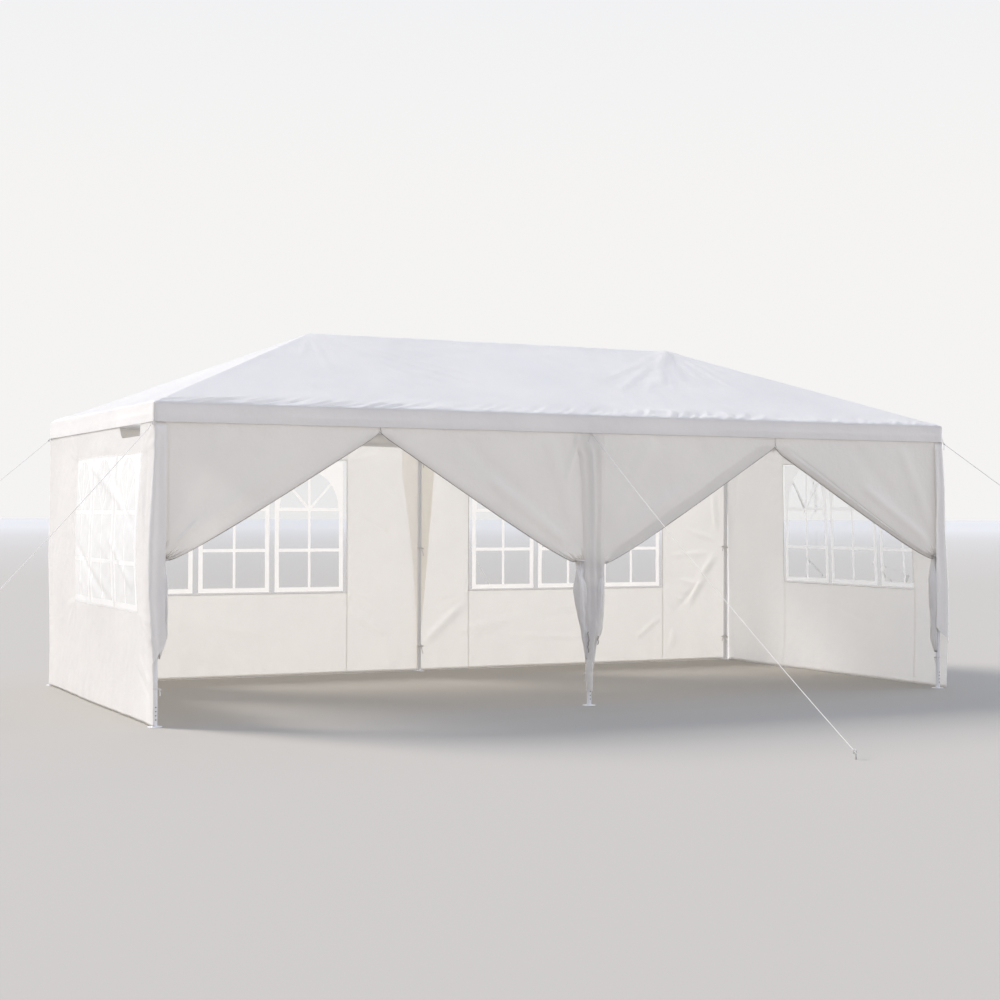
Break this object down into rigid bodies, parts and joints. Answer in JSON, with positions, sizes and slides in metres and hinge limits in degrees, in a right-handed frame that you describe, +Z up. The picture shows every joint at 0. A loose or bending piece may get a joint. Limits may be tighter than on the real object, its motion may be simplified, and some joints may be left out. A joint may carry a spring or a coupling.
{
  "type": "marquee tent",
  "caption": "White hipped marquee tent on a steel tube frame, with arched-window wall panels, zipped doors tied back and pegged guy ropes.",
  "frame": {"origin": "centre of the tent's footprint on the ground", "axes": "+X along the long side, +Y to the back, the doors face -Y, +Z up"},
  "size_m": [10.348, 8.688, 2.568],
  "materials": {
    "frame_steel": "white powder coat, satin",
    "tarpaulin": "white woven polyethylene tarpaulin, slightly see-through",
    "window_sheet": "clear soft plastic film with white printed bars",
    "rope": "white twisted polypropylene",
    "peg_steel": "galvanised wire"
  },
  "bodies": {
    "root": {"leg_front_left": "frame_steel", "leg_front_mid": "frame_steel", "leg_front_right": "frame_steel", "leg_back_left": "frame_steel", "leg_back_mid": "frame_steel", "leg_back_right": "frame_steel", "eave_fitting_front_left": "frame_steel", "eave_fitting_front_mid": "frame_steel", "eave_fitting_front_right": "frame_steel", "eave_fitting_back_left": "frame_steel", "eave_fitting_back_mid": "frame_steel", "eave_fitting_back_right": "frame_steel", "eave_rail_front_left": "frame_steel", "eave_rail_front_right": "frame_steel", "eave_rail_back_left": "frame_steel", "eave_rail_back_right": "frame_steel", "eave_rail_left_end": "frame_steel", "eave_rail_right_end": "frame_steel", "rafter_front_left": "frame_steel", "rafter_front_mid": "frame_steel", "rafter_front_right": "frame_steel", "rafter_back_left": "frame_steel", "rafter_back_mid": "frame_steel", "rafter_back_right": "frame_steel", "ridge_fitting_left": "frame_steel", "ridge_fitting_mid": "frame_steel", "ridge_fitting_right": "frame_steel", "ridge_tube_left": "frame_steel", "ridge_tube_right": "frame_steel", "roof_cover": "tarpaulin", "wall_left_end": "tarpaulin", "wall_right_end": "tarpaulin", "wall_back_left": "tarpaulin", "wall_back_right": "tarpaulin", "window_left_end": "window_sheet", "window_right_end": "window_sheet", "window_back_left": "window_sheet", "window_back_right": "window_sheet", "door_left_outer_half": "tarpaulin", "door_left_inner_half": "tarpaulin", "door_right_outer_half": "tarpaulin", "door_right_inner_half": "tarpaulin", "guy_rope_front_left": "rope", "guy_rope_front_mid": "rope", "guy_rope_front_right": "rope", "guy_rope_back_left": "rope", "guy_rope_back_mid": "rope", "guy_rope_back_right": "rope"}
  },
  "joints": []
}
